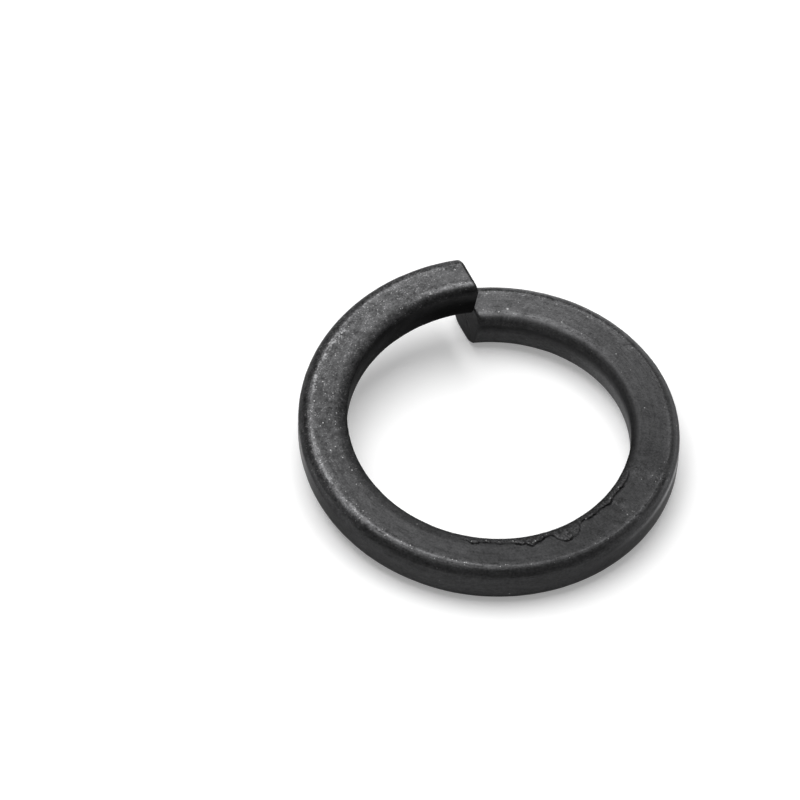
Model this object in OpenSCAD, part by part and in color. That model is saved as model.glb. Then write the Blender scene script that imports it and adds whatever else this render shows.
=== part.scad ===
// Spring lock washer: one square bar coiled through a single left-hand turn and sheared off.
// Millimetres. The bore axis is Z and the lowest point of the low end lies at z = 0.
// The slit opens towards +Y. Seen from above, the coil climbs clockwise from it.

/* [Ring] */
// Diameter of the bore
bore_d = 49; // [30:0.5:80]
// Width of the bar, measured outwards from the bore
bar_w = 8.5; // [6:0.1:14]
// Thickness of the bar, measured along the bore
bar_t = 8.15; // [6:0.05:14]

/* [Coil] */
// Climb of the coil over one whole turn
lift = 9; // [1:0.25:20]

/* [Edges] */
// Radius of the upper outer edge
top_outer_r = 2.4; // [0.5:0.1:3.5]
// Radius of the lower outer edge
bottom_outer_r = 2.8; // [0.5:0.1:3.5]
// Radius of the upper inner edge
top_inner_r = 1.8; // [0.5:0.1:3.5]
// Radius of the lower inner edge
bottom_inner_r = 2.8; // [0.5:0.1:3.5]

/* [Sheared ends] */
// Gap between the two end faces
slit_w = 0.4; // [0.1:0.1:4]
// Angle between the cut and a radius, seen from above
slit_lean = 20; // [0:1:35]
// Angle between the cut and the bore axis
slit_tilt = 7.5; // [0:0.5:15]
// Bevel left along the edges of each end face
end_bevel = 0.3; // [0.1:0.05:0.5]

/* [Hidden] */

turn = 360;
// Rings along the whole turn, and points along each rounded edge
turn_steps = 120;
edge_steps = 5;

bore_r = bore_d / 2;
ring_r = bore_r + bar_w;

// The swept bar reaches this far into the bore, and the bore is then cut as a true cylinder.
bore_stock = 0.3;
// Where the two inner edges stop short of the bore wall, in degrees of their arc
inner_arc = 74;
// How far the cutter runs past the coil at each end
cutter_over = 5;
coil_h = lift + bar_t;

// An edge radius never takes more than this share of the bar
edge_share = 0.42;
function edge_r(r) = min(r, edge_share * bar_w, edge_share * bar_t);

// Points of one rounded edge about its centre, pulled in by the end bevel
function edge_arc(centre, r, inset, from, to) =
    [for (i = [0 : edge_steps])
        let (a = from + (to - from) * i / edge_steps)
        centre + (r - inset) * [cos(a), sin(a)]];

// Outline of the bar as [distance from the axis, height above the bar's middle]
function outline(inset = 0) =
    let (
        ob = edge_r(bottom_outer_r),
        ot = edge_r(top_outer_r),
        it = edge_r(top_inner_r),
        ib = edge_r(bottom_inner_r),
        half_t = bar_t / 2,
        stock_r = bore_r - bore_stock + 2 * inset
    )
    concat(
        edge_arc([ring_r - ob, ob - half_t], ob, inset, -90, 0),
        edge_arc([ring_r - ot, half_t - ot], ot, inset, 0, 90),
        edge_arc([bore_r + it, half_t - it], it, inset, 90, 90 + inner_arc),
        [[stock_r, half_t - it], [stock_r, ib - half_t]],
        edge_arc([bore_r + ib, ib - half_t], ib, inset, 270 - inner_arc, 270)
    );

// Turn angle at which a point of the outline meets the cut, moved along the coil by side.
// The cut leans from the radius by slit_lean and from the bore axis by slit_tilt.
function cut_angle(point, side) =
    let (reach = bore_r * tan(slit_lean) + side + point[1] * tan(slit_tilt))
    asin(reach * cos(slit_lean) / point[0]) - slit_lean;

// Height of a point of the outline once the coil has turned by phi from the slit
function climb(point, phi) = point[1] + lift * phi / turn;

// The lowest point of the whole coil, which on_coil brings to z = 0
low_z = min([for (point = outline()) climb(point, cut_angle(point, slit_w / 2 + end_bevel))]);

// A point of the outline carried round the coil by a turn angle
function on_coil(point, phi) =
    [point[0] * sin(phi), point[0] * cos(phi), climb(point, phi) - low_z];

// One ring of points, a share of the way from the low end to the raised end.
// The cuts are slit_w apart, and end_in draws the ring back from both.
function ring(share, inset, end_in) =
    [for (point = outline(inset))
        let (
            first = cut_angle(point, slit_w / 2 + end_in),
            last = turn + cut_angle(point, -slit_w / 2 - end_in)
        )
        on_coil(point, first + (last - first) * share)];

function mean(points) = [for (row = points) 1] * points / len(points);

// The bar swept round its coil, with a bevelled cap on each sheared end
module coiled_bar() {
    rings = concat(
        [ring(0, end_bevel, 0)],
        [for (k = [0 : turn_steps]) ring(k / turn_steps, 0, end_bevel)],
        [ring(1, end_bevel, 0)]
    );
    count = len(rings[0]);
    last = len(rings) - 1;
    low_hub = count * len(rings);
    raised_hub = low_hub + 1;
    points = concat([for (loop = rings) each loop], [mean(rings[0]), mean(rings[last])]);
    sides = [for (k = [0 : last - 1], i = [0 : count - 1])
        let (
            near = k * count + i,
            near_next = k * count + (i + 1) % count,
            far = near + count,
            far_next = near_next + count
        )
        each [[near, far, near_next], [near_next, far, far_next]]];
    caps = [for (i = [0 : count - 1])
        let (next = (i + 1) % count)
        each [[low_hub, i, next], [raised_hub, last * count + next, last * count + i]]];
    polyhedron(points, concat(sides, caps), convexity = 6);
}

module washer() {
    color([0.17, 0.17, 0.18])
    difference() {
        coiled_bar();
        translate([0, 0, -cutter_over])
            cylinder(r = bore_r, h = coil_h + 2 * cutter_over, $fn = turn_steps);
    }
}

washer();
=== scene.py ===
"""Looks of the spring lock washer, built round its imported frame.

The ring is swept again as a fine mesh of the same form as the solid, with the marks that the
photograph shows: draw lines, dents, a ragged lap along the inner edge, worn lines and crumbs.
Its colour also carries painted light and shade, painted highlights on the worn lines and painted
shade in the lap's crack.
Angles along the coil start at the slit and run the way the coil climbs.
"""

import math
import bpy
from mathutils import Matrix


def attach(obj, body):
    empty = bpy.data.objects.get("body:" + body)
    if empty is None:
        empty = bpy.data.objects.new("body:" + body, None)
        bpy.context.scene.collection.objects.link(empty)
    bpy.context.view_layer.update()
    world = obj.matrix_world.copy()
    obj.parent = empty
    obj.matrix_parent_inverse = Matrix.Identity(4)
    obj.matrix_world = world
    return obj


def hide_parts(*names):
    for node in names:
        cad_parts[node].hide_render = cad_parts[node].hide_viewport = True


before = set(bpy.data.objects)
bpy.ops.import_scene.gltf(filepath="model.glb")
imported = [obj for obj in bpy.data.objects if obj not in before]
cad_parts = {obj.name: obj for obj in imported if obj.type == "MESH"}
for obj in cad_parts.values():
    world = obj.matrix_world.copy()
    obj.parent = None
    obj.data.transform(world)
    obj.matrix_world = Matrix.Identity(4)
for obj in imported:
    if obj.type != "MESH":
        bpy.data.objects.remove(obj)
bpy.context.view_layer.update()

from types import SimpleNamespace

import bmesh
import bpy
import numpy as np
from mathutils import Matrix, Vector
from mathutils.bvhtree import BVHTree

MM = 0.001
TURN = 2 * math.pi

# The bar and its coil, in millimetres, as in the part's source
BORE_R = 24.5
BAR_W = 8.5
BAR_T = 8.15
LIFT = 9.0
BOTTOM_OUTER_R = 2.8
BOTTOM_INNER_R = 2.8
TOP_OUTER_R = 2.4
TOP_INNER_R = 1.8
SLIT_W = 0.4
SLIT_LEAN = math.radians(20)
SLIT_TILT = math.radians(7.5)
END_BEVEL = 0.2
RING_R = BORE_R + BAR_W
MID_R = BORE_R + BAR_W / 2

# The upper edges change a little along the coil: degrees from the slit, radius of the outer edge,
# and how far the inner edge reaches into the top and down the bore
SECTIONS = [
    (0, 2.1, 1.8, 1.8), (60, 2.0, 1.8, 1.8), (85, 1.9, 1.8, 1.4), (110, 1.8, 1.6, 0.8),
    (125, 1.85, 1.6, 0.8), (150, 2.1, 2.0, 1.2), (170, 2.4, 2.3, 1.3), (200, 2.6, 2.4, 1.2),
    (320, 2.65, 2.4, 1.1), (345, 2.65, 1.6, 1.5), (360, 2.65, 1.6, 1.4),
]

# Mesh steps: along the coil in degrees, finer at the lap, and round the bar by stretch
COARSE_STEP = 0.85
FINE_STEP = 0.27
LAP_SPAN = (112.0, 198.0)
EDGE_STEPS = {"bottom_outer": 12, "top_outer": 22, "top_inner": 26, "bottom_inner": 10}
FLAT_STEPS = {"outer": 12, "top": 34, "bore": 10, "bottom": 8}
END_RINGS = 9

# The sheared faces' roughness in millimetres, its cells round the bar, and a seed for each face
END_TEAR = 0.05
END_TEAR_CELLS = 30
LOW_END_SEED = 20
HIGH_END_SEED = 40

# Dents and draw lines: height in millimetres, cells along the turn and round the bar, and seed
DENTS = [(0.018, (46, 9), 1), (0.015, (150, 22), 2), (0.007, (30, 70), 3)]
DENTS_BELOW = 0.035

# Ragged lap along the upper inner edge, marked on the photograph and placed through its camera:
# degrees from the slit, millimetres from the bore, and how open the lap is there
LAP = [
    (114, 0.9, 0.0), (120, 1.7, 0.5), (125, 1.6, 0.8), (129, 1.4, 0.5), (133, 1.9, 1.0),
    (138, 1.5, 0.5), (142, 1.7, 1.0), (147, 1.4, 1.0), (149.3, 1.7, 0.3), (149.8, 2.4, 0.3),
    (151.5, 3.1, 0.35), (153.5, 3.5, 0.4), (156, 3.7, 0.7), (158, 3.5, 0.5), (159.5, 2.7, 0.2),
    (161, 1.5, 0.8), (163.5, 1.5, 0.9), (166, 2.0, 1.0), (169.5, 2.8, 1.0), (171, 2.4, 1.0),
    (171.5, 1.9, 1.0), (173, 2.2, 1.0), (175.5, 1.8, 1.0), (178, 1.4, 0.2), (181, 1.8, 0.6),
    (183.5, 1.4, 0.3), (186, 1.5, 0.8), (188.5, 1.5, 0.7), (190, 2.0, 1.0), (192, 1.9, 0.8),
    (194, 1.5, 0.5), (197, 1.2, 0.0),
]

# The line between those keys: its steps and jags in millimetres, how much its openness varies,
# and how far down the bore the lap's marks reach
LAP_STRETCH = 0.24
LAP_JAG = 0.13
LAP_OPEN_SPREAD = (0.4, 1.3)
LAP_DOWN_BORE = 1

# The lap's relief, crack, flap and lip, in millimetres from its line, and how strong they are
LAP_RAISE = 0.07
LAP_RAISE_REACH = 0.6
LAP_DEPTH = 0.28
LAP_HALF_WIDTH = 0.10
CRACK_STRENGTH = 1.4
FLAP_STARTS = (0, 0.3)
FLAP_ENDS = (2.6, 1.8)
FLAP_STRENGTH = 2.5
LIP_PLACE = 0.34
LIP_HALF_WIDTH = 0.16

# Wear by degrees from the slit, from none at 0 to heavy at 1: crumbs of bare metal on the top,
# and burnished lines, which also paint highlights, where the top meets its outer edge and where it
# meets its inner edge
CRUMBS = [(0, 0.5), (45, 0.4), (75, 0.1), (110, 0.1), (115, 0.9), (120, 0.1), (129, 0.1),
          (132, 0.7), (135, 0.1), (180, 0.1), (225, 0.35), (250, 0.75), (275, 1.1), (330, 1.1),
          (345, 0.8), (360, 0.5)]
RIDGE_WEAR_AND_HIGHLIGHT = [(0, 0.1), (40, 0.2), (100, 0.15), (116, 0.2), (132, 0.8), (140, 0.5), (170, 0.5),
         (190, 0.8), (215, 1.1), (230, 0.9), (243, 0.35), (278, 0.3), (290, 0.5), (303, 0.75),
         (320, 0.7), (345, 0.6), (360, 0.2)]
INNER_LINE_WEAR_AND_HIGHLIGHT = [(12, 0.5), (45, 0.3), (60, 0.1), (75, 0.0), (336, 0.0), (342, 1.0), (360, 1.1)]

# How much of the crumbs there is over the top, below it and on the ridge
CRUMBS_ABOVE = 0.75
CRUMBS_BELOW = 0.3
CRUMBS_ON_RIDGE = 0.9
CRUMBS_RIDGE_HALF_WIDTH = 0.9

# Where the ridge's worn line and painted highlight lie, outwards from the flat top's edge, by
# degrees from the slit; its width, a softer and wider part of it, and its relief; then the inner
# line's place and width
RIDGE_OUT = [(0, 0.2), (115, 0.2), (135, 0.35), (200, 0.3), (250, 0.55), (280, 0.45), (315, 0.55),
             (360, 0.4)]
RIDGE_HALF_WIDTH = 0.24
RIDGE_SOFT = 0.4
RIDGE_SOFT_HALF_WIDTH = 0.6
RIDGE_RAISE = 0.03
INNER_LINE_IN = 0.2
INNER_LINE_HALF_WIDTH = 0.35

# A broken strand of bare metal beside the ridge: degrees from the slit, distance from the axis
# in millimetres, and how worn it is
STRAND = [(278, 30.8, 0), (283, 30.5, 0.7), (287, 30.7, 1.0), (290, 30.9, 0.9), (294, 30.6, 0.9),
          (300, 30.4, 1.0), (304, 30.2, 1.2), (307, 30.0, 1.3), (311, 29.9, 0.5), (316, 30.2, 0)]
STRAND_HALF_WIDTH = 0.28

# Painted light and shade, with some of the oxide's own tone, by degrees from the slit against the
# mean of the top: on the top, over its inner edge, high and low on the bore's wall, and on the outer
# wall. These were set until the render's grey levels came near the photograph's, so they paint the
# top's gradient of light, highlights and dark bands over the edges, shade high on the bore, and
# reflections low on it and in a bright stretch of the outer wall near 264 degrees
TOP_PAINTED_LIGHT_AND_TONE = [(0, 1.15), (12, 1.25), (45, 1.17), (65, 0.98), (97, 0.85), (132, 0.78), (162, 0.65),
            (195, 0.71), (215, 0.73), (280, 0.78), (312, 1.05), (340, 1.15), (360, 1.1)]
EDGE_PAINTED_LIGHT_AND_TONE = [(0, 0.9), (45, 1.05), (80, 1.0), (100, 0.9), (130, 1.15), (165, 1.4), (195, 1.75),
             (215, 1.8), (270, 1.2), (315, 1.1), (335, 0.7), (352, 0.55), (360, 0.4)]
BORE_HIGH_PAINTED_SHADE_AND_TONE = [(0, 0.4), (40, 0.45), (65, 0.7), (110, 0.5), (180, 0.2), (315, 0.12),
                  (345, 0.45), (360, 0.6)]
BORE_LOW_PAINTED_LIGHT_AND_TONE = [(0, 1.1), (40, 1.3), (60, 2.6), (110, 4.0), (240, 0.8), (270, 1.3), (300, 0.5),
                 (330, 0.3), (345, 0.1)]
WALL_PAINTED_REFLECTION_AND_TONE = [(0, 1.3), (85, 1.2), (104, 0.8), (122, 1.35), (150, 1.25), (225, 1.3), (240, 0.95),
             (248, 1.05), (256, 2.2), (264, 5.2), (276, 2.5), (290, 1.5), (360, 1.3)]

# Painted light on the outer wall's tone: the highlight and dark band of the rounded outer edge, and
# one worn streak under it whose brightness is a painted reflection; how far below the top, how wide
# in millimetres, and how much by degrees from the slit
OUTER_PAINTED_LIGHT_AND_TONES = [
    (0.85, 0.6, [(60, 0.5), (90, 0.9), (128, 0.75), (150, 0.2), (175, -0.2), (220, -0.3),
                 (242, 0.8), (280, 0.9), (310, 1.1), (360, 0.9)]),
    (1.7, 0.85, [(0, 1.9), (60, 1.5), (85, 1.1), (150, 1.0), (225, 0.85), (234, 1.8), (252, 1.9),
                 (264, 0.5), (335, 0.2), (350, 0.6), (360, 1.9)]),
    (3.7, 0.6, [(86, 0.0), (96, 6.5), (108, 10.0), (116, 7.5), (128, 2.2), (145, 0.0)]),
]

# Where those tones take over, in millimetres round the bar: the outer wall below the top, the
# inner edge past the top, and high and low on the bore past the start of its wall; then where
# the skin turns matt, past the top
TO_WALL = (2.8, 4.1)
TO_EDGE = (0.2, 0.9)
TO_BORE = (-1.5, 0.3)
TO_LOW_BORE = (-0.3, 2.3)
TO_MATT = (-0.2, 1.2)

# The marks of the sheared end faces, where they aren't 0
END_MARKS = {"tone": 0.8, "matt": 0.4, "crumbs": 0.2}

# Larger nicks in the top: degrees from the slit, distance from the axis and radius in millimetres
NICKS = [(3, 27.0, 0.14), (12, 27.3, 0.25), (33, 27.2, 0.20), (85, 27.3, 0.15), (241, 27.5, 0.13),
         (247, 26.7, 0.18), (256, 31.2, 0.20), (257.5, 28.6, 0.20), (268, 26.7, 0.12)]

# Streaks of the skin: cells in a millimetre along the bar and across it, and roughness. Specks
# of the skin: cells in a metre, detail and roughness
STREAKS = {"patches": ((0.10, 0.22, 1), 0.55), "clouds": ((0.35, 0.9, 1), 0.55),
           "lines": ((0.12, 3.5, 1), 0.6)}
SPECKS = {"mottle": (900, 3, 0.55), "grain": (2600, 3, 0.6), "grit": (3800, 2, 0.6)}
STREAK_DETAIL = 3

# What each field adds to the oxide's tone, on whole skin and on worn skin
TONE_ADDED = {"grain": (1.3, 2.2), "mottle": (0.4, 1.1), "clouds": (0.4, 1.3),
              "patches": (0.6, 0.6), "lines": (0.5, 0.5), "spots": (0.1, 2.6)}

# Which noise makes light spots; and over which noise the burnished lines (worn, with a painted
# highlight), the strand and the torn flap grow lighter, with the least and the most that they add to
# the tone
SPOT_GRIT = (0.05, 0.20)
SPOT_MOTTLE = (-0.10, 0.12)
RUBBED_AND_HIGHLIGHT = (-0.3, 0.3, 0.0, 1.8)
FLAKED = (-0.04, 0.22, 0.0, 2.3)
TORN = (-0.1, 0.22, -0.1, 1.2)

# Chips of bare metal: cells in a metre and radius in cells
LARGE_CHIPS = (1700, 0.28)
SMALL_CHIPS = (3000, 0.36)
LIP_CHIPS = (2400, 0.42)

# The share of cells with a chip: on whole skin and on worn skin, what the burnished lines and
# the strand add to the small ones, and on the lap's lip
LARGE_CHIPS_SHARE = (0.004, 0.045)
SMALL_CHIPS_SHARE = (0.0, 0.06)
SMALL_CHIPS_ADDED = {"burnish_and_highlight": 0.16, "strand": 0.4}
LIP_CHIPS_SHARE = 0.5

# How much of a dot's radius is wholly bare, and how much of the dots matt skin leaves
BARE_CORE = 0.5
MATT_LEAVES = (0.6, 1.0, 0.6, 0.15)

# The oxide's colour at ten times its mean tone, the least tone, the colour of bare metal, the
# near-black painted shade inside the crack, and how bright the skin's reflections are at grazing
# angles
OXIDE_LEVEL = 0.44
OXIDE_COOL = 1.02
OXIDE_SHARE = 0.1
LEAST_TONE = 0.06
BARE_LEVEL = 0.30
CRACK_SHADE_LEVEL = 0.004
GRAZING_LEVEL = 0.55

# The skin's roughness and what each field adds to it, and the share of each field in its relief
ROUGHNESS = 0.37
ROUGHNESS_ADDED = {"grain": 0.20, "lines": 0.10, "burnish_and_highlight": -0.05, "matt": 0.24,
                   "lap_crack": 0.3, "lap_flap": 0.1}
RELIEF = {"grain": 0.50, "grit": 0.20, "lines": 0.35, "mottle": 0.45, "flap_grain": 1.2}
BUMP_STRENGTH = 0.8
BUMP_DEPTH = 0.06 * MM

# The photograph's own camera, worked out from the outlines of the ring
CAMERA_HEADING = math.radians(6.226)
CAMERA_ELEVATION = math.radians(53.519)
CAMERA_ROLL = math.radians(1.960)
CAMERA_DISTANCE = 1.12553
CAMERA_TARGET = Vector((-14.74, 8.05, 8.69)) * MM
CAMERA_LENS = 292.5

# Light: a large softbox high above and a little behind, in a room that is brighter low down at
# the back right
KEY_HEADING = math.radians(114)
KEY_ELEVATION = math.radians(72.5)
KEY_DISTANCE = 0.9
KEY_SIZE = (0.80, 0.84)
KEY_POWER = 8.4
ROOM_LEVEL = 0.25
HORIZON_FROM = (0.82, 0.57, 0.0)
HORIZON_SIDES = (0.3, 0.95)
HORIZON_RISE = (0.0, 0.5)
HORIZON_LEVEL = 1.1

TABLE_HALF = 3.0
TABLE_BELOW = 0.02 * MM
TABLE_LEVEL = 0.86
TABLE_GLOW = 0.25

rng = np.random.default_rng(48)


# Small helpers

def read_keys(keys, degrees):
    """Each value of the keys, read at these degrees from the slit."""
    angle, *values = zip(*keys)
    return [np.interp(degrees, angle, value) for value in values]


def by_angle(keys, phi):
    """The one value of the keys, read at these turn angles."""
    return read_keys(keys, np.degrees(phi))[0]


def band(distance, half_width):
    """1 at no distance, falling off softly on both sides."""
    return np.exp(-(distance / half_width) ** 2)


def smooth_step(value, low, high):
    """Goes softly from 0 at low to 1 at high, and stays so past them. Low may be the larger."""
    t = np.clip((value - low) / (high - low), 0, 1)
    return t * t * (3 - 2 * t)


def smooth_noise(u, v, cells, seed):
    """Soft noise from -1 to 1 over shares u and v, with the given number of cells each way."""
    source = np.random.default_rng(seed).uniform(-1, 1, (cells[0] + 2, cells[1] + 2))
    u, v = np.asarray(u) * cells[0], np.asarray(v) * cells[1]
    iu, iv = np.floor(u).astype(int), np.floor(v).astype(int)
    fu = smooth_step(u - iu, 0, 1)[:, None]
    fv = smooth_step(v - iv, 0, 1)[None, :]
    a, b = source[np.ix_(iu, iv)], source[np.ix_(iu + 1, iv)]
    c, d = source[np.ix_(iu, iv + 1)], source[np.ix_(iu + 1, iv + 1)]
    return (a * (1 - fu) + b * fu) * (1 - fv) + (c * (1 - fu) + d * fu) * fv


# The bar's outline and the coil

def pair(x, y):
    """Two numbers, or one for each ring, as pairs of which each ring has its own."""
    return np.stack(np.broadcast_arrays(np.atleast_1d(x), np.atleast_1d(y)), -1)[:, None, :]


def arc(centre, reach, start, end, steps):
    """Points and outward normals along one rounded edge, its last point left to the next."""
    a = np.radians(np.linspace(start, end, steps, endpoint=False))
    around = np.stack([np.cos(a), np.sin(a)], 1)
    normals = around / reach
    return centre + reach * around, normals / np.linalg.norm(normals, axis=-1, keepdims=True)


def flat(start, end, normal, steps):
    """Points and normals along one flat side, its last point left to the next."""
    t = np.linspace(0, 1, steps, endpoint=False)[:, None]
    points = start * (1 - t) + end * t
    return points, np.broadcast_to(np.array(normal, dtype=float), points.shape)


def outline(top_outer=TOP_OUTER_R, inner_in=TOP_INNER_R, inner_down=TOP_INNER_R):
    """The bar's section from the middle of its underside, outwards and over the top.

    Gives points as distance from the axis and height above the bar's middle, and normals, for
    each ring that the given edges describe.
    """
    h = BAR_T / 2
    ob, ib = BOTTOM_OUTER_R, BOTTOM_INNER_R
    bottom_mid = (BORE_R + ib + RING_R - ob) / 2
    half_bottom = FLAT_STEPS["bottom"] // 2
    inner = pair(inner_in, inner_down)
    runs = [
        flat(pair(bottom_mid, -h), pair(RING_R - ob, -h), (0, -1), half_bottom),
        arc(pair(RING_R - ob, ob - h), pair(ob, ob), -90, 0, EDGE_STEPS["bottom_outer"]),
        flat(pair(RING_R, ob - h), pair(RING_R, h - top_outer), (1, 0), FLAT_STEPS["outer"]),
        arc(pair(RING_R - top_outer, h - top_outer), pair(top_outer, top_outer), 0, 90,
            EDGE_STEPS["top_outer"]),
        flat(pair(RING_R - top_outer, h), pair(BORE_R + inner_in, h), (0, 1), FLAT_STEPS["top"]),
        arc(pair(BORE_R + inner_in, h - inner_down), inner, 90, 180, EDGE_STEPS["top_inner"]),
        flat(pair(BORE_R, h - inner_down), pair(BORE_R, ib - h), (-1, 0), FLAT_STEPS["bore"]),
        arc(pair(BORE_R + ib, ib - h), pair(ib, ib), 180, 270, EDGE_STEPS["bottom_inner"]),
        flat(pair(BORE_R + ib, -h), pair(bottom_mid, -h), (0, -1), half_bottom),
    ]
    rings = max(run[0].shape[0] for run in runs)
    points, normals = ([np.broadcast_to(run[k], (rings,) + run[k].shape[1:]) for run in runs]
                       for k in (0, 1))
    return np.concatenate(points, 1), np.concatenate(normals, 1)


def outline_at(degrees):
    """The section as it is at these angles from the slit."""
    return outline(*read_keys(SECTIONS, degrees))


def way_round():
    """The way round the bar in millimetres: how far along it each step of the outline lies, its
    whole length, and where the outer wall ends, the flat top starts and ends, and the bore's
    wall starts."""
    points = outline()[0][0]
    gaps = np.linalg.norm(np.diff(points, axis=0, append=points[:1]), axis=1)
    along = np.concatenate([[0], np.cumsum(gaps)[:-1]])
    steps = [FLAT_STEPS["bottom"] // 2, EDGE_STEPS["bottom_outer"], FLAT_STEPS["outer"],
             EDGE_STEPS["top_outer"], FLAT_STEPS["top"], EDGE_STEPS["top_inner"]]
    wall_end, top_start, top_end, bore_start = along[np.cumsum(steps)[2:]]
    return SimpleNamespace(along=along, girth=gaps.sum(), wall_end=wall_end, top_start=top_start,
                           top_end=top_end, bore_start=bore_start)


def cut_angle(points, side):
    """Turn angle at which outline points meet the sheared cut, moved along the coil by side."""
    reach = BORE_R * math.tan(SLIT_LEAN) + side + points[..., 1] * math.tan(SLIT_TILT)
    return np.arcsin(reach * math.cos(SLIT_LEAN) / points[..., 0]) - SLIT_LEAN


def lowest_point():
    """Height of the coil's lowest point, counted from the middle of the bar at the slit."""
    points = outline_at(0)[0][0]
    return (points[:, 1] + LIFT * cut_angle(points, SLIT_W / 2 + END_BEVEL) / TURN).min()


def coil_place(points, phi, low_z):
    """Outline points carried round the coil by phi, in millimetres."""
    r, z = points[..., 0], points[..., 1]
    return np.stack([r * np.sin(phi), r * np.cos(phi), z + LIFT * phi / TURN - low_z], -1)


# The lap

def lap_line():
    """The lap as a jagged line: distance along the bore, offset from it, and openness."""
    keys = np.array([(math.radians(a) * BORE_R, off, wide) for a, off, wide in LAP])
    pieces = []
    for first, last in zip(keys[:-1], keys[1:]):
        steps = max(2, int(np.hypot(*(last - first)[:2]) / LAP_STRETCH))
        t = np.linspace(0, 1, steps, endpoint=False)[:, None]
        pieces.append(first * (1 - t) + last * t)
    line = np.concatenate(pieces + [keys[-1:]])
    line[:, 1] += rng.uniform(-LAP_JAG, LAP_JAG, len(line))
    line[:, 2] *= rng.uniform(*LAP_OPEN_SPREAD, len(line))
    return line


def lap_fields(along_bore, offset):
    """Distance to the lap, openness there, and whether a point lies on the flap's side."""
    line = lap_line()
    best = np.full(offset.shape, 1e9)
    wide = np.zeros(offset.shape)
    for a, b in zip(line[:-1], line[1:]):
        d = (b - a)[:2]
        t = np.clip(((along_bore - a[0]) * d[0] + (offset - a[1]) * d[1]) / (d @ d), 0, 1)
        gap = np.hypot(along_bore - a[0] - t * d[0], offset - a[1] - t * d[1])
        near = gap < best
        best = np.where(near, gap, best)
        wide = np.where(near, a[2] * (1 - t) + b[2] * t, wide)
    return best, wide, offset < np.interp(along_bore, line[:, 0], line[:, 1])


def lap_marks(phi, offset, columns):
    """The lap's relief in millimetres, and its crack (painted near-black as shade), grainy flap and
    bright lip.
    """
    relief, crack, flap, lip = (np.zeros(phi.shape) for _ in range(4))
    span = np.radians(LAP_SPAN)
    rows = np.where((phi[:, 0] > span[0]) & (phi[:, 0] < span[1]))[0]
    at = np.ix_(rows, columns)
    gap, wide, on_flap = lap_fields(phi[at] * BORE_R, offset[at])
    groove = band(gap, LAP_HALF_WIDTH) * np.minimum(wide, 1)
    crack[at] = np.minimum(1, CRACK_STRENGTH * groove)
    near = smooth_step(gap, *FLAP_STARTS) * smooth_step(gap, *FLAP_ENDS)
    flap[at] = np.where(on_flap, near, 0) * np.minimum(1, FLAP_STRENGTH * wide)
    lip[at] = np.where(on_flap, band(gap - LIP_PLACE, LIP_HALF_WIDTH), 0) * wide
    raised = np.where(on_flap, np.exp(-gap / LAP_RAISE_REACH), 0) * wide
    relief[at] = LAP_RAISE * raised - LAP_DEPTH * groove
    return relief, crack, flap, lip


# Tone and wear

def painted_light_and_tone_over(phi, way):
    """Painted light and shade over the body, with the oxide's own tone, against the mean of the top.
    """
    below = way.top_start - way.along
    on_wall = smooth_step(below, *TO_WALL)
    outside = 1 - on_wall + on_wall * by_angle(WALL_PAINTED_REFLECTION_AND_TONE, phi)
    for depth, half_width, tones in OUTER_PAINTED_LIGHT_AND_TONES:
        outside = outside + band(below - depth, half_width) * by_angle(tones, phi)
    top = by_angle(TOP_PAINTED_LIGHT_AND_TONE, phi) * outside
    on_edge = smooth_step(way.along - way.top_end, *TO_EDGE)
    on_bore = smooth_step(way.along - way.bore_start, *TO_BORE)
    low = smooth_step(way.along - way.bore_start, *TO_LOW_BORE)
    bore = by_angle(BORE_HIGH_PAINTED_SHADE_AND_TONE, phi) * (1 - low) + by_angle(BORE_LOW_PAINTED_LIGHT_AND_TONE, phi) * low
    edge = top * (1 - on_edge) + top * by_angle(EDGE_PAINTED_LIGHT_AND_TONE, phi) * on_edge
    return edge * (1 - on_bore) + bore * on_bore


def ridge_gap(phi, way):
    """Distance from the ridge, where the flat top meets its rounded outer edge."""
    return way.along - (way.top_start - by_angle(RIDGE_OUT, phi))


def ridge_wear_and_highlight(phi, way):
    """Burnish and painted highlight on the ridge, with a softer and wider part round its line."""
    from_ridge = ridge_gap(phi, way)
    soft = RIDGE_SOFT * band(from_ridge, RIDGE_SOFT_HALF_WIDTH)
    return np.maximum(band(from_ridge, RIDGE_HALF_WIDTH), soft) * by_angle(RIDGE_WEAR_AND_HIGHLIGHT, phi)


def inner_wear_and_highlight(phi, way):
    """Burnish and painted highlight along the line where the top meets its inner edge."""
    from_line = way.along - (way.top_end - INNER_LINE_IN)
    return band(from_line, INNER_LINE_HALF_WIDTH) * by_angle(INNER_LINE_WEAR_AND_HIGHLIGHT, phi)


def strand_wear(points, phi, way):
    """How worn the strand beside the ridge is, above the outer wall only."""
    strand_r, worn = read_keys(STRAND, np.degrees(phi))
    return band(points[..., 0] - strand_r, STRAND_HALF_WIDTH) * worn * (way.along > way.wall_end)


def crumb_wear(phi, way):
    """How many crumbs of bare metal there are."""
    on_top = (way.along > way.wall_end) & (way.along < way.bore_start)
    level = np.where(on_top, CRUMBS_ABOVE, CRUMBS_BELOW)
    ridge = CRUMBS_ON_RIDGE * band(ridge_gap(phi, way), CRUMBS_RIDGE_HALF_WIDTH)
    return by_angle(CRUMBS, phi) * (level + ridge)


# The visible mesh

def coil_shares():
    """Shares of the turn for the rings of the mesh, closer together along the lap."""
    angles = [0.0]
    while angles[-1] < 360:
        fine = LAP_SPAN[0] < angles[-1] < LAP_SPAN[1]
        angles.append(angles[-1] + (FINE_STEP if fine else COARSE_STEP))
    return np.array(angles) / angles[-1]


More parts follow.
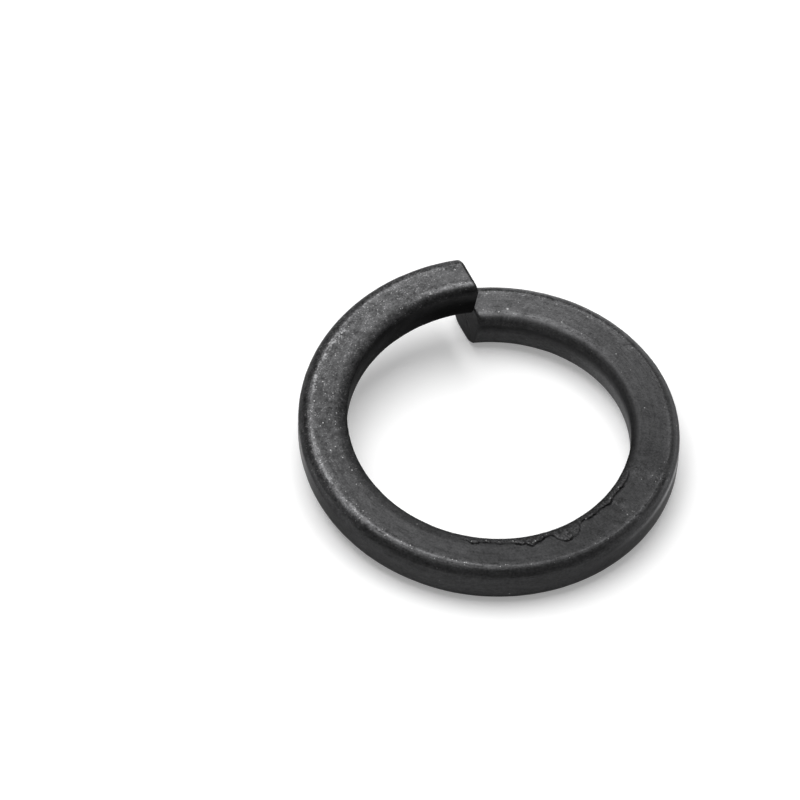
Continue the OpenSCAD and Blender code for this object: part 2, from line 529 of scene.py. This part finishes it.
def end_cap(points, normals, turned, side, low_z, seed):
    """Rings that shrink to the bar's middle across one sheared end, and the middle itself."""
    centre = np.array([MID_R, 0.0])
    inset = points - END_BEVEL * normals
    round_bar = np.linspace(0, 1, len(points))
    rings = []
    for k in range(END_RINGS):
        p = centre + (inset - centre) * (1 - k / END_RINGS)
        tear = END_TEAR * smooth_noise([0.5], round_bar, (1, END_TEAR_CELLS), seed + k)[0]
        rings.append(coil_place(p, turned + cut_angle(p, side + tear * (k > 0)), low_z))
    return np.array(rings), coil_place(centre, turned + cut_angle(centre, side), low_z)


def body_looks(points, phi, share, way):
    """Relief of the body in millimetres, and the marks that the steel's material reads."""
    columns = np.where((way.along > way.top_start) & (way.along < way.bore_start + LAP_DOWN_BORE))[0]
    lap_relief, crack, flap, lip = lap_marks(phi, points[..., 0] - BORE_R, columns)
    ridge = ridge_wear_and_highlight(phi, way)
    relief = RIDGE_RAISE * ridge + lap_relief - DENTS_BELOW
    for height, cells, seed in DENTS:
        relief += height * smooth_noise(share, way.along / way.girth, cells, seed)
    marks = {
        # Painted light and shade along the coil, with some of the oxide's own tone in it
        "tone": painted_light_and_tone_over(phi, way),
        "matt": smooth_step(way.along - way.top_end, *TO_MATT) + 0 * phi,
        "crumbs": crumb_wear(phi, way),
        # Burnished lines: real wear that also paints highlights on the ridge and the inner edge
        "burnish_and_highlight": np.maximum(ridge, inner_wear_and_highlight(phi, way)),
        "strand": strand_wear(points, phi, way),
        "lap_crack": crack,
        "lap_flap": flap,
        "lap_lip": lip,
    }
    return relief, marks


def with_ends(field, at_ends):
    """One value for each vertex, from a field over the body's rings and one for the ends."""
    caps = np.full((END_RINGS, field.shape[1]), at_ends)
    return np.append(np.concatenate([caps, field, caps]).ravel(), [at_ends, at_ends])


def grid_faces(rows, count, hub_low, hub_high):
    """Quads between the rings, and a fan of triangles to the middle of each end."""
    i, j = np.meshgrid(np.arange(rows - 1), np.arange(count), indexing="ij")
    jn = (j + 1) % count
    quads = np.stack([i * count + j, i * count + jn, (i + 1) * count + jn, (i + 1) * count + j], -1)
    faces = [tuple(quad) for quad in quads.reshape(-1, 4).tolist()]
    top = (rows - 1) * count
    for k in range(count):
        nxt = (k + 1) % count
        faces.append((hub_low, nxt, k))
        faces.append((hub_high, top + k, top + nxt))
    return faces


def ring_mesh():
    """The fine ring: vertices in metres, faces, wire coordinates, marks and girth."""
    way = way_round()
    count = len(way.along)
    share = coil_shares()
    points, normals = outline_at(share * 360)
    first = cut_angle(points[0], SLIT_W / 2 + END_BEVEL)
    last = TURN + cut_angle(points[-1], -SLIT_W / 2 - END_BEVEL)
    phi = first[None, :] + (last - first)[None, :] * share[:, None]
    low_z = lowest_point()

    relief, marks = body_looks(points, phi, share, way)
    body = coil_place(points + relief[..., None] * normals, phi, low_z)
    low_rings, low_hub = end_cap(points[0], normals[0], 0, SLIT_W / 2, low_z, LOW_END_SEED)
    high_rings, high_hub = end_cap(points[-1], normals[-1], TURN, -SLIT_W / 2, low_z, HIGH_END_SEED)
    grid = np.concatenate([low_rings[::-1], body, high_rings])
    rows = len(grid)
    verts = np.concatenate([grid.reshape(-1, 3), low_hub[None], high_hub[None]]) * MM
    faces = grid_faces(rows, count, len(verts) - 2, len(verts) - 1)
    marks = {name: with_ends(field, END_MARKS.get(name, 0.0)) for name, field in marks.items()}

    # Wire coordinates in millimetres: along the bar, and round it
    reach = np.concatenate([np.full(END_RINGS, share[0]), share, np.full(END_RINGS, share[-1])])
    u = np.append(np.repeat(reach * TURN * MID_R, count), [0, TURN * MID_R])
    v = np.append(np.tile(way.along, rows), [0, 0])
    return verts, faces, np.stack([u, v], 1), marks, way.girth


def add_wire_map(mesh, wire, girth):
    """Stores the wire coordinates of the vertices as the mesh's UV map."""
    corner_vert = np.empty(len(mesh.loops), dtype=np.int32)
    mesh.loops.foreach_get("vertex_index", corner_vert)
    uv = wire[corner_vert].copy()
    start = np.empty(len(mesh.polygons), dtype=np.int32)
    size = np.empty(len(mesh.polygons), dtype=np.int32)
    mesh.polygons.foreach_get("loop_start", start)
    mesh.polygons.foreach_get("loop_total", size)
    # The faces that close the section run on to the full girth, not back to zero
    face_of = np.repeat(np.arange(len(start)), size)
    high = np.maximum.reduceat(uv[:, 1], start)
    wraps = (high[face_of] > girth * 0.75) & (uv[:, 1] == 0)
    uv[wraps, 1] = girth
    layer = mesh.uv_layers.new(name="wire")
    layer.data.foreach_set("uv", uv.astype(np.float32).ravel())


def build_ring():
    """The washer's visible mesh, with its wire coordinates and marks stored on it."""
    verts, faces, wire, marks, girth = ring_mesh()
    mesh = bpy.data.meshes.new("washer_ring")
    mesh.from_pydata(verts.tolist(), [], faces)
    mesh.update()
    add_wire_map(mesh, wire, girth)
    for name, values in marks.items():
        attribute = mesh.attributes.new(name, "FLOAT", "POINT")
        attribute.data.foreach_set("value", values.astype(np.float32))
    mesh.polygons.foreach_set("use_smooth", np.ones(len(mesh.polygons), dtype=bool))
    mesh.validate()
    ring = bpy.data.objects.new("washer_ring", mesh)
    bpy.context.collection.objects.link(ring)
    return ring


# Materials

class Nodes:
    """A short way to add and join nodes of one tree."""

    def __init__(self, tree):
        self.tree = tree
        tree.nodes.clear()

    def add(self, kind, inputs=None, **settings):
        node = self.tree.nodes.new(kind)
        for name, value in settings.items():
            setattr(node, name, value)
        for name, value in (inputs or {}).items():
            self.feed(node.inputs[name], value)
        return node

    def feed(self, socket, value):
        """Joins another node's socket to this one, or sets its value."""
        if isinstance(value, bpy.types.NodeSocket):
            self.tree.links.new(value, socket)
        else:
            socket.default_value = value

    def math(self, operation, a, b=0.0):
        return self.add("ShaderNodeMath", {0: a, 1: b}, operation=operation).outputs[0]

    def blend(self, start, fields, weights):
        """A start value, and each field named in the weights, times its weight, on top of it."""
        for name, weight in weights.items():
            start = self.math("ADD", start, self.math("MULTIPLY", fields[name], weight))
        return start

    def ramp(self, value, low, high, to_low=0.0, to_high=1.0):
        node = self.add("ShaderNodeMapRange", {"Value": value, "From Min": low, "From Max": high,
                                               "To Min": to_low, "To Max": to_high},
                        interpolation_type="SMOOTHSTEP")
        return node.outputs["Result"]

    def noise(self, vector, scale, detail, rough):
        """Noise about zero, from roughly -0.5 to 0.5."""
        node = self.add("ShaderNodeTexNoise", {"Vector": vector, "Scale": scale,
                                               "Detail": detail, "Roughness": rough})
        return self.math("SUBTRACT", node.outputs["Fac"], 0.5)

    def dots(self, vector, scale, radius, share):
        """Scattered soft dots: radius in cells, and the share of cells that hold one."""
        cell = self.add("ShaderNodeTexVoronoi", {"Vector": vector, "Scale": scale})
        pick = self.add("ShaderNodeSeparateColor", {0: cell.outputs["Color"]}).outputs[0]
        chosen = self.math("LESS_THAN", pick, share)
        inside = self.ramp(cell.outputs["Distance"], radius * BARE_CORE, radius, 1.0, 0.0)
        return self.math("MULTIPLY", chosen, inside)

    def tint(self, factor, first, second):
        """A colour that goes from the first to the second as the factor goes from 0 to 1."""
        node = self.add("ShaderNodeMix", {"Factor": factor}, data_type="RGBA")
        self.feed(node.inputs[6], first)
        self.feed(node.inputs[7], second)
        return node.outputs[2]

    def stretched(self, vector, factors):
        node = self.add("ShaderNodeVectorMath", {0: vector, 1: factors}, operation="MULTIPLY")
        return node.outputs[0]

    def mark(self, name):
        """One of the marks that build_ring stores on the mesh."""
        return self.add("ShaderNodeAttribute", attribute_name=name).outputs["Fac"]


def grey(value, cool=1.0):
    return (value, value, value * cool, 1)


def nick_marks(n, place):
    """1 inside the larger nicks, from the place of each on the top."""
    low_z = lowest_point()
    found = 0.0
    for degrees, radius, size in NICKS:
        centre = coil_place(np.array([radius, BAR_T / 2]), math.radians(degrees), low_z) * MM
        away = n.add("ShaderNodeVectorMath", {0: place, 1: tuple(centre)}, operation="DISTANCE")
        inside = n.ramp(away.outputs["Value"], size * BARE_CORE * MM, size * MM, 1.0, 0.0)
        found = n.math("MAXIMUM", inside, found)
    return found


def skin_fields(n):
    """The place, the noises and the mesh's marks that the steel's looks are mixed from."""
    fields = {"place": n.add("ShaderNodeTexCoord").outputs["Object"]}
    for name in ("tone", "matt", "crumbs", "burnish_and_highlight", "strand", "lap_crack", "lap_flap", "lap_lip"):
        fields[name] = n.mark(name)
    # The wire coordinates are in millimetres, so streaks run far along the bar and little across
    wire = n.add("ShaderNodeUVMap", uv_map="wire").outputs["UV"]
    for name, (cells, rough) in STREAKS.items():
        fields[name] = n.noise(n.stretched(wire, cells), 1.0, STREAK_DETAIL, rough)
    for name, (scale, detail, rough) in SPECKS.items():
        fields[name] = n.noise(fields["place"], scale, detail, rough)
    fields["spots"] = n.math("MULTIPLY", n.ramp(fields["grit"], *SPOT_GRIT),
                             n.ramp(fields["mottle"], *SPOT_MOTTLE))
    fields["flap_grain"] = n.math("MULTIPLY", fields["lap_flap"], fields["grain"])
    return fields


def oxide_colour(n, fields):
    """The black oxide: lighter in grains, streaks and spots, and the more so where it is worn, with
    painted light, shade and highlights.
    """
    weights = {name: n.ramp(fields["crumbs"], 0, 1, *levels)
               for name, levels in TONE_ADDED.items()}
    # The burnished lines lighten as worn metal and as a painted highlight
    weights["burnish_and_highlight"] = n.ramp(n.math("ADD", fields["grain"], fields["clouds"]), *RUBBED_AND_HIGHLIGHT)
    weights["strand"] = n.ramp(n.math("ADD", fields["grain"], fields["mottle"]), *FLAKED)
    # The tone mark multiplies in painted light and shade
    tone = n.math("MULTIPLY", n.blend(1.0, fields, weights), fields["tone"])
    tone = n.blend(tone, fields, {"lap_flap": n.ramp(fields["grain"], *TORN)})
    share = n.math("MULTIPLY", n.math("MAXIMUM", tone, LEAST_TONE), OXIDE_SHARE)
    return n.tint(share, grey(0.0), grey(OXIDE_LEVEL, OXIDE_COOL))


def bare_metal(n, fields):
    """1 where bare metal shows: in chips, along the burnished lines, in nicks and on the lip."""
    place, crumbs = fields["place"], fields["crumbs"]
    large_chips = n.dots(place, *LARGE_CHIPS, n.ramp(crumbs, 0, 1, *LARGE_CHIPS_SHARE))
    share = n.blend(n.ramp(crumbs, 0, 1, *SMALL_CHIPS_SHARE), fields, SMALL_CHIPS_ADDED)
    chips = n.math("MAXIMUM", large_chips, n.dots(place, *SMALL_CHIPS, share))
    bare = n.math("MAXIMUM", chips, nick_marks(n, place))
    bare = n.math("MULTIPLY", bare, n.ramp(fields["matt"], *MATT_LEAVES))
    lip_share = n.math("MULTIPLY", fields["lap_lip"], LIP_CHIPS_SHARE)
    return n.math("MAXIMUM", bare, n.dots(place, *LIP_CHIPS, lip_share))


def black_steel():
    """Oiled black oxide over a drawn and coiled square bar, rubbed bare in crumbs and lines, with
    painted light, shade and highlights in its colour.
    """
    material = bpy.data.materials.new("black_steel")
    material.use_nodes = True
    n = Nodes(material.node_tree)
    fields = skin_fields(n)
    base = n.tint(bare_metal(n, fields), oxide_colour(n, fields), grey(BARE_LEVEL))
    # Painted shade: the lap's crack is coloured near-black
    base = n.tint(fields["lap_crack"], base, grey(CRACK_SHADE_LEVEL))
    bump = n.add("ShaderNodeBump", {"Height": n.blend(0.0, fields, RELIEF),
                                    "Strength": BUMP_STRENGTH, "Distance": BUMP_DEPTH})
    shader = n.add("ShaderNodeBsdfPrincipled", {
        "Base Color": base, "Roughness": n.blend(ROUGHNESS, fields, ROUGHNESS_ADDED),
        "Normal": bump.outputs[0], "Metallic": 1.0, "Specular Tint": grey(GRAZING_LEVEL)})
    n.add("ShaderNodeOutputMaterial", {"Surface": shader.outputs[0]})
    return material


def seen_directly(n):
    """1 for rays of the camera and of mirror or glass surfaces, else 0."""
    path = n.add("ShaderNodeLightPath")
    seen = n.math("MAXIMUM", path.outputs["Is Camera Ray"], path.outputs["Is Glossy Ray"])
    return n.math("MAXIMUM", seen, path.outputs["Is Transmission Ray"])


def table_material():
    """A pale matt table that reads as white where no shadow falls."""
    material = bpy.data.materials.new("pale_table")
    material.use_nodes = True
    n = Nodes(material.node_tree)
    matt = n.add("ShaderNodeBsdfDiffuse", {"Color": grey(TABLE_LEVEL)})
    strength = n.math("MULTIPLY", seen_directly(n), TABLE_GLOW)
    glow = n.add("ShaderNodeEmission", {"Color": grey(1.0), "Strength": strength})
    both = n.add("ShaderNodeAddShader", {0: matt.outputs[0], 1: glow.outputs[0]})
    n.add("ShaderNodeOutputMaterial", {"Surface": both.outputs[0]})
    return material


# Stage

def resting_plane(node):
    """Point and normal of the plane that the loose ring settles on: its hull's face
    straight below its middle."""
    hull = bmesh.new()
    hull.from_mesh(node.data)
    bmesh.ops.convex_hull(hull, input=hull.verts, use_existing_faces=False)
    loose = [v for v in hull.verts if not v.link_faces]
    bmesh.ops.delete(hull, geom=loose, context="VERTS")
    tree = BVHTree.FromBMesh(hull)
    hull.free()
    point, normal, _, _ = tree.ray_cast(Vector((0, 0, BAR_T * MM)), Vector((0, 0, -1)))
    return point, (normal if normal.z > 0 else -normal)


def build_table():
    """The pale table, laid on the plane that the ring rests on."""
    point, normal = resting_plane(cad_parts["washer"])
    mesh = bpy.data.meshes.new("table")
    half = TABLE_HALF
    corners = [(-half, -half, 0), (half, -half, 0), (half, half, 0), (-half, half, 0)]
    mesh.from_pydata(corners, [], [(0, 1, 2, 3)])
    mesh.materials.append(table_material())
    table = bpy.data.objects.new("table", mesh)
    turn = Vector((0, 0, 1)).rotation_difference(normal).to_matrix().to_4x4()
    table.matrix_world = Matrix.Translation(point - normal * TABLE_BELOW) @ turn
    bpy.context.collection.objects.link(table)


def aim(thing, place, target, roll=0.0):
    """Puts a camera or lamp at place, looking at target, turned about its view by roll."""
    look = (Vector(target) - Vector(place)).to_track_quat("-Z", "Y").to_matrix().to_4x4()
    thing.matrix_world = Matrix.Translation(place) @ look @ Matrix.Rotation(roll, 4, "Z")


def build_camera():
    """The camera, at the photograph's viewing angle."""
    forward = Vector((math.sin(CAMERA_HEADING) * math.cos(CAMERA_ELEVATION),
                      math.cos(CAMERA_HEADING) * math.cos(CAMERA_ELEVATION),
                      -math.sin(CAMERA_ELEVATION)))
    data = bpy.data.cameras.new("camera")
    data.sensor_fit = "HORIZONTAL"
    data.sensor_width = 36.0
    data.lens = CAMERA_LENS
    data.clip_end = 20.0
    camera = bpy.data.objects.new("camera", data)
    bpy.context.collection.objects.link(camera)
    aim(camera, CAMERA_TARGET - forward * CAMERA_DISTANCE, CAMERA_TARGET, CAMERA_ROLL)
    bpy.context.scene.camera = camera


def build_softbox():
    """A large softbox, high above the ring and a little behind it."""
    data = bpy.data.lights.new("softbox", "AREA")
    data.shape = "RECTANGLE"
    data.size, data.size_y = KEY_SIZE
    data.energy = KEY_POWER
    key = bpy.data.objects.new("softbox", data)
    bpy.context.collection.objects.link(key)
    aim(key, Vector((math.cos(KEY_HEADING) * math.cos(KEY_ELEVATION),
                     math.sin(KEY_HEADING) * math.cos(KEY_ELEVATION),
                     math.sin(KEY_ELEVATION))) * KEY_DISTANCE, (0, 0, 0))


def build_room():
    """A dim room with a bright wall low at the back right, which the camera sees as white."""
    world = bpy.data.worlds.new("studio")
    world.use_nodes = True
    n = Nodes(world.node_tree)
    direction = n.add("ShaderNodeTexCoord").outputs["Generated"]
    height = n.add("ShaderNodeSeparateXYZ", {0: direction}).outputs["Z"]
    towards = n.add("ShaderNodeVectorMath", {0: direction, 1: HORIZON_FROM},
                    operation="DOT_PRODUCT").outputs["Value"]
    wall = n.math("MULTIPLY", n.ramp(towards, *HORIZON_SIDES),
                  n.ramp(height, *HORIZON_RISE, 1.0, 0.0))
    level = n.math("ADD", n.math("MULTIPLY", wall, HORIZON_LEVEL), ROOM_LEVEL)
    camera_ray = n.add("ShaderNodeLightPath").outputs["Is Camera Ray"]
    shade = n.add("ShaderNodeMix", {"Factor": camera_ray, "A": level, "B": 1.0})
    back = n.add("ShaderNodeBackground", {"Color": grey(1.0), "Strength": shade.outputs[0]})
    n.add("ShaderNodeOutputWorld", {"Surface": back.outputs[0]})
    bpy.context.scene.world = world


build_camera()
ring = build_ring()
ring.data.materials.append(black_steel())
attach(ring, "root")
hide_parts("washer")
build_table()
build_softbox()
build_room()
bpy.context.scene.view_settings.view_transform = "Standard"
